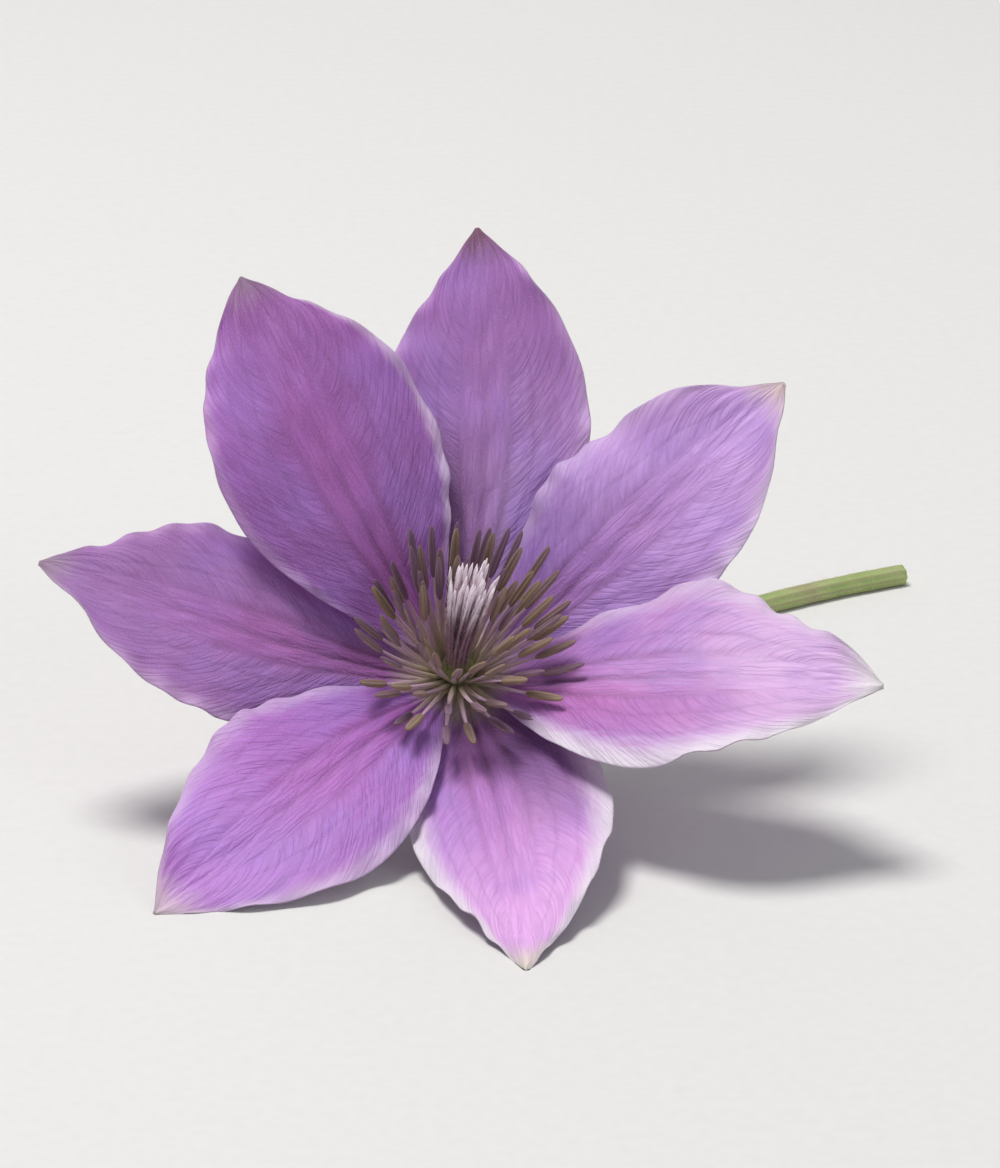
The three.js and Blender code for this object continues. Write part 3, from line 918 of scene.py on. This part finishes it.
# %% [markdown]
# ## The carpels and their silky styles
# The tuft in the middle is a head of small carpels, each drawn out into one long pale style. Fine silky hairs
# lie along the styles. Each carpel and its style are one rod that swells near its foot, and each hair is a
# three-sided cone, because there are thousands of them.

# %% Carpels with their styles
CARPELS = 40
HEAD_RADIUS, HEAD_TOP, HEAD_DROP = 0.92, 3.1, 1.1  # of the rounded head that they stand on
GOLDEN_ANGLE = 2.4  # from one carpel to the next, in radians
STYLE_RINGS = 30
STYLE_LENGTH = 12.2
STYLE_RADIUS, CARPEL_RADIUS = 0.17, 0.34
TUFT_BEND = np.array([1.7, 3.2, 0])  # the tuft leans the same way, and further

draw = np.random.default_rng(23)
share = np.linspace(0, 1, STYLE_RINGS)
swell = CARPEL_RADIUS * ridge(share - 0.07, 0.07)
tip = 1 + 0.3 * ridge(share - 0.93, 0.05) - 0.8 * smoothstep(share, 0.95, 1)
radius = np.maximum(swell, STYLE_RADIUS * (1.15 - 0.3 * share) * tip)
styles = []
for i in range(CARPELS):
    outward = math.sqrt((i + 0.5) / CARPELS)  # 0 in the middle of the head and 1 at its edge
    at = leaning_path(
        HEAD_RADIUS * outward, HEAD_TOP - HEAD_DROP * outward, GOLDEN_ANGLE * i,
        1 + 3 * outward + draw.uniform(-1.5, 1.5), 3 + 6 * outward + draw.uniform(-5, 5),
        STYLE_LENGTH + 0.5 * outward + draw.uniform(-0.6, 0.5), share, draw.uniform(-0.07, 0.07),
    )
    at += TUFT_BEND * share[:, None] ** 2
    styles.append((at, *carried_frames(at, (1, 0, 0)), (radius, radius), draw.uniform()))
style_piece = rods_piece("styles", 10, STYLE_RINGS, styles, ["pistils"])
print(CARPELS, "carpels, their styles", round(2 * STYLE_RADIUS, 2), "mm thick")


# %% Silky hairs
def hairs_piece(name, roots, ways, lengths, places, radius, node_slot, nodes, matrix):
    """One piece of fine tapering hairs. Roots and ways are arrays in the frame that the matrix moves, and
    places says how far along its rod each hair grows."""
    bm = bmesh.new()
    for root, way, length in zip(roots, ways, lengths):
        turn = Vector(way).to_track_quat("Z", "Y").to_matrix().to_4x4()
        place = Matrix.Translation(Vector(root) + Vector(way) * (length / 2)) @ turn
        bmesh.ops.create_cone(
            bm, cap_ends=True, segments=3, radius1=radius, radius2=0, depth=length, matrix=matrix @ place
        )
    piece = finished(bm, name)
    note(piece.data, "place", np.repeat(places, len(piece.data.vertices) // len(roots)))
    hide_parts(*nodes)
    return piece


def hair_ways(along, outward, lift):
    """Unit directions that lie along a rod, lifted off it by an angle in radians."""
    return unit(along * math.cos(lift) + outward * math.sin(lift))


HAIRS_A_STYLE = 60
SILK_RADIUS, SILK_LIFT = 0.035, 0.34  # in mm and in radians
roots, ways, lengths, places = [], [], [], []
for at, across, depth, size, _ in styles:
    share = draw.uniform(0.02, 0.9, HAIRS_A_STYLE)
    ring = (share * (STYLE_RINGS - 1)).astype(int)
    around = draw.uniform(0, 2 * math.pi, HAIRS_A_STYLE)[:, None]
    outward = across[ring] * np.cos(around) + depth[ring] * np.sin(around)
    roots.append(at[ring] + outward * (0.8 * size[0][ring])[:, None])
    ways.append(hair_ways(directions(at)[ring], outward, SILK_LIFT))
    lengths.append(draw.uniform(0.7, 1.4, HAIRS_A_STYLE))
    places.append(share)
silk = hairs_piece(
    "style_silk", *map(np.concatenate, (roots, ways, lengths, places)),
    SILK_RADIUS, "style", ["pistils"], bloom_frame,
)
print(CARPELS, "styles with", CARPELS * HAIRS_A_STYLE, "hairs")


# %% [markdown]
# Styles are greenish at the carpel, dull pink in the shade of the brush and nearly white at the tip. Silk is
# so fine that only its tone along the rod and a little sheen show, and the stalk's down has the same recipe.

# %% The styles' finishes
def style_finish():
    f = Finish("style")
    _, _, share = f.parts(f.attribute("section"))
    grain = f.noise(f.place(), 2400.0, 3.0, 0.6)
    colour = f.coats(
        (160, 128, 138),
        (f.ramp(share, 0.58, 0.84), (255, 242, 250)),
        (f.ramp(share, 0.22, 0.05), (168, 168, 120)),
        (0.25 * f.ramp(grain, 0.45, 0.75), (226, 196, 210)),
    )
    return f.surface(
        Base_Color=colour, Roughness=0.45 + 0.15 * grain, Normal=f.relief(grain, 0.00004),
        glow=(0.2, (1.0, 0.85, 0.8), 0.0006), Specular_IOR_Level=0.4,
    )


def hair_finish(name, low, high):
    f = Finish(name)
    grain = f.noise(f.place(), 900.0, 2.0)
    share, _, _ = f.parts(f.attribute("place"))
    return f.surface(
        Base_Color=f.blend(f.ramp(share + 0.4 * (grain - 0.5), 0.5, 0.8), low, high),
        Roughness=0.4 + 0.1 * grain, glow=(0.1, (1.0, 0.2, 0.1), 0.0004), Sheen_Weight=0.3,
    )


style_piece.data.materials.append(style_finish())
silk.data.materials.append(hair_finish("silk", (166, 136, 146), (255, 244, 250)))
print(len(bpy.data.materials), "materials so far, with the solids' own")

# %% [markdown]
# ## The stalk and the receptacle
# The stalk and the swollen receptacle that carries the flower grew as one, so they are one rod. It has eight
# low ridges, and lies on the surface, so its underside is a little flat. Where it was cut, a bevelled rim
# surrounds paler pith. At its other end it closes in a dome, out of which the stamens and carpels grow.

# %% The stalk's route
STALK_RADIUS, STALK_SINK = 1.15, 0.12
LYING = STALK_RADIUS - STALK_SINK


def behind(distance):
    """A point on the bloom's axis, this far below the ring of tepal roots."""
    return (0, distance * math.cos(AXIS_ELEVATION), BLOOM_AT.z - distance * math.sin(AXIS_ELEVATION))


ROUTE = np.array([
    (50, 53.5, LYING), (42, 49.5, LYING), (31, 42.5, LYING), (20, 33, LYING), (10.5, 22, LYING),
    (4.6, 13.6, LYING + 0.8), (1.5, 8, LYING + 2.8), behind(6), behind(3.2),
])


FINE_STEPS = 60  # between two corners, before the even steps are measured off


def through(corners, steps):
    """A smooth curve through corners, in steps of equal length. Its pull is even where they stand apart."""
    corners = np.asarray(corners, dtype=float)
    before, after = 2 * corners[0] - corners[1], 2 * corners[-1] - corners[-2]
    knots = np.concatenate([[before], corners, [after]])
    gaps = np.linalg.norm(np.diff(knots, axis=0), axis=1) ** 0.5
    share = np.linspace(0, 1, FINE_STEPS, endpoint=False)[:, None]
    parts = []
    for i in range(1, len(knots) - 2):
        p, q, r, s = knots[i - 1 : i + 3]
        a, b, c = gaps[i - 1 : i + 2]
        start = b * ((q - p) / a - (r - p) / (a + b) + (r - q) / b)
        end = b * ((r - q) / b - (s - q) / (b + c) + (s - r) / c)
        parts.append(q + start * share + (3 * (r - q) - 2 * start - end) * share**2
                     + (2 * (q - r) + start + end) * share**3)
    fine = np.concatenate([*parts, corners[-1:]])
    run = np.concatenate([[0], np.cumsum(np.linalg.norm(np.diff(fine, axis=0), axis=1))])
    return picked(fine, run, np.linspace(0, run[-1], steps + 1)), run[-1]


STALK_STEPS = 150
stalk_at, stalk_length = through(ROUTE, STALK_STEPS)
print("the stalk is", round(stalk_length, 1), "mm long")

# %% Its sections, from the cut end to the dome
DOME_STEPS = 44
NECK_SWELL = 0.75  # how much thicker the stalk gets below the receptacle

# How far each is below the ring of tepal roots, and its radius.
RECEPTACLE = [(3.2, 1.9), (2.4, 2.1), (1.6, 2.45), (0.7, 2.72), (-0.2, 2.78), (-0.9, 2.62), (-1.6, 2.35),
              (-2.2, 1.9), (-2.7, 1.4), (-3.2, 1.05), (-3.8, 0.8), (-4.3, 0.45), (-4.5, 0.06)]
CUT_END = [(0.16, 0.05), (0.14, 0.3), (0.05, 0.62), (0.0, 0.8), (0.0, 0.93), (0.07, 1.0)]  # inward, radius

top, _ = through(RECEPTACLE, DOME_STEPS)
share = np.linspace(0, 1, STALK_STEPS + 1)
radius = STALK_RADIUS + NECK_SWELL * smoothstep(share, 0.86, 1) ** 2
radius = radius * (1 + 0.012 * np.sin(40 * share) + 0.01 * np.sin(97 * share + 1))  # a little uneven
inward = unit(stalk_at[1] - stalk_at[0])
cut = [stalk_at[0] + inward * d for d, _ in CUT_END]
at = np.concatenate([cut, stalk_at[1:], [behind(d) for d, _ in top[1:]]])
radius = np.concatenate([[STALK_RADIUS * r for _, r in CUT_END], radius[1:], top[1:, 1]])
along_share = np.concatenate([np.full(len(cut), -1.0), share[1:], 1 + (RECEPTACLE[0][0] - top[1:, 0]) / 10])
cut_share = np.concatenate([[r for _, r in CUT_END], np.ones(len(at) - len(cut))])
at[:, :2] += np.array(BLOOM_AT)[:2]
print(len(at), "stations")

# %% Shape the stalk
STALK_SIDES = 48
RIDGES, RIDGE_HEIGHT = 8, 0.055
RIDGES_FADE = (1.28, 1.42)  # shares along it, on the receptacle

blank = rod(STALK_SIDES, len(at))
stalk = finished(blank, "stalk_and_receptacle")
mesh = stalk.data
points = points_of(mesh)
ring = points[:, 2].astype(int)
angle = np.arctan2(points[:, 1], points[:, 0])
ridged = np.cos(RIDGES * angle) * (1 - smoothstep(along_share[ring], *RIDGES_FADE))
steady = at.copy()  # the cut end's stations fold back, so its frames come from a line that doesn't
steady[: len(cut)] = at[len(cut)] - inward * np.linspace(0.4, 0.1, len(cut))[:, None]
across, depth = carried_frames(steady, (0, 0, 1))
points[:, :2] *= (1 + RIDGE_HEIGHT * ridged)[:, None]
placed = on_path(points, at, across, depth, radius, radius)
placed[:, 2] = np.maximum(placed[:, 2], 0)
note(mesh, "section", ridged, cut_share[ring], along_share[ring])
set_points(mesh, placed * MM)
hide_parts("stalk")
print(len(mesh.polygons), "faces, with", RIDGES, "ridges")

# %% [markdown]
# The stalk is green with a dull purple tinge on its ridges, and duller on the receptacle. The shares along it
# are negative on the cut end, where the finish shows the pith.

# %% The stalk's finish
def stalk_finish():
    f = Finish("stalk")
    ridged, cut, share = f.parts(f.attribute("section"))
    clouds = f.noise(f.place(), 160.0, 3.0)
    grain = f.noise(f.place(), 1500.0, 4.0, 0.65)
    pith = f.blend(f.ramp(cut + 0.2 * (grain - 0.5), 0.55, 0.8), (226, 228, 196), (168, 188, 116))
    colour = f.coats(
        (154, 176, 108),
        (f.ramp(clouds, 0.3, 0.7), (184, 196, 134)),
        (0.4 * f.ramp(ridged + 0.8 * (grain - 0.5), 0.0, 1.0), (158, 134, 116)),
        (0.4 * f.ramp(clouds, 0.5, 0.75), (150, 116, 116)),
        (0.3 * f.ramp(grain, 0.5, 0.8), (206, 214, 168)),
        (f.ramp(share, 1.0, 1.35), (156, 160, 110)),
        (f.ramp(share, -0.02, -0.2), pith),
    )
    return f.surface(
        Base_Color=colour, Roughness=0.55 + 0.2 * grain, Normal=f.relief(grain + 0.3 * clouds, 0.00015),
        glow=(0.15, (0.8, 1.0, 0.5), 0.001), Specular_IOR_Level=0.35,
    )


stalk.data.materials.append(stalk_finish())
print(len(bpy.data.materials), "materials so far, with the solids' own")

# %% [markdown]
# A young stalk is finely downy. The down hardly shows from the front, but it softens the outline where light
# catches it.

# %% Down on the stalk
DOWN_HAIRS = 1500
DOWN_RADIUS, DOWN_LIFT = 0.022, 1.0  # in mm and in radians
UP_THE_RECEPTACLE = 20  # rings of it that are downy

draw = np.random.default_rng(5)
ring = draw.integers(len(CUT_END) + 1, len(cut) + STALK_STEPS + UP_THE_RECEPTACLE, DOWN_HAIRS)
around = draw.uniform(0, 2 * math.pi, DOWN_HAIRS)[:, None]
outward = across[ring] * np.cos(around) + depth[ring] * np.sin(around)
along = directions(at)[ring]
roots = at[ring] + outward * radius[ring][:, None] * 0.98 + along * draw.uniform(-0.3, 0.3, (DOWN_HAIRS, 1))
ways = hair_ways(along, outward, DOWN_LIFT)
clear = (roots[:, 2] > 0.3) & (ways[:, 2] > -0.6)  # of the surface that the stalk lies on
lengths = draw.uniform(0.25, 0.55, DOWN_HAIRS)
down = hairs_piece(
    "stalk_down", roots[clear], ways[clear], lengths[clear], ring[clear] / len(at),
    DOWN_RADIUS, "stalk", ["stalk"], Matrix.Scale(MM, 4),
)
down.data.materials.append(hair_finish("down", (196, 200, 170), (222, 220, 204)))
print(int(clear.sum()), "hairs of down")

# %% [markdown]
# ## Floor and light
# The floor is a wide pale sheet. The light is soft daylight from above and a little to the left, with weaker
# ones from the right and from behind, so that the shallow channels, the waves and the backs of the tepals
# still read.

# %% Floor
FLOOR_SIZE = 6.0

bm = bmesh.new()
bmesh.ops.create_grid(bm, x_segments=1, y_segments=1, size=FLOOR_SIZE / 2)
floor = linked(bm, "floor")
f = Finish("floor_paper")
tooth = f.noise(f.place(), 700.0, 3.0)
floor.data.materials.append(f.surface(
    Base_Color=f.blend(tooth, (228, 227, 225), (235, 234, 232)), Roughness=0.85, Specular_IOR_Level=0.2,
))
print("a floor", FLOOR_SIZE, "m wide")


# %% Lights
def soft_light(name, place, size, power, colour):
    data = bpy.data.lights.new(name, "AREA")
    data.shape, data.size, data.energy, data.color = "DISK", size, power, colour
    light = bpy.data.objects.new(name, data)
    light.location = place
    light.rotation_euler = (Vector((0, 0, 0.02)) - Vector(place)).to_track_quat("-Z", "Y").to_euler()
    bpy.context.scene.collection.objects.link(light)


soft_light("key", (-0.28, 0.02, 1.15), 0.42, 10.8, (1.0, 0.985, 0.965))
soft_light("fill", (0.9, -0.8, 0.6), 0.8, 1.6, (0.95, 0.97, 1.0))
soft_light("rear", (-0.5, 1.1, 0.55), 0.9, 1.5, (0.97, 0.98, 1.0))

world = bpy.data.worlds.new("daylight")
world.use_nodes = True
sky = world.node_tree.nodes["Background"].inputs
sky["Color"].default_value = (0.93, 0.95, 1.0, 1.0)
sky["Strength"].default_value = 0.28
bpy.context.scene.world = world
bpy.context.scene.view_settings.view_transform = "Standard"
print("three lights and a pale sky")
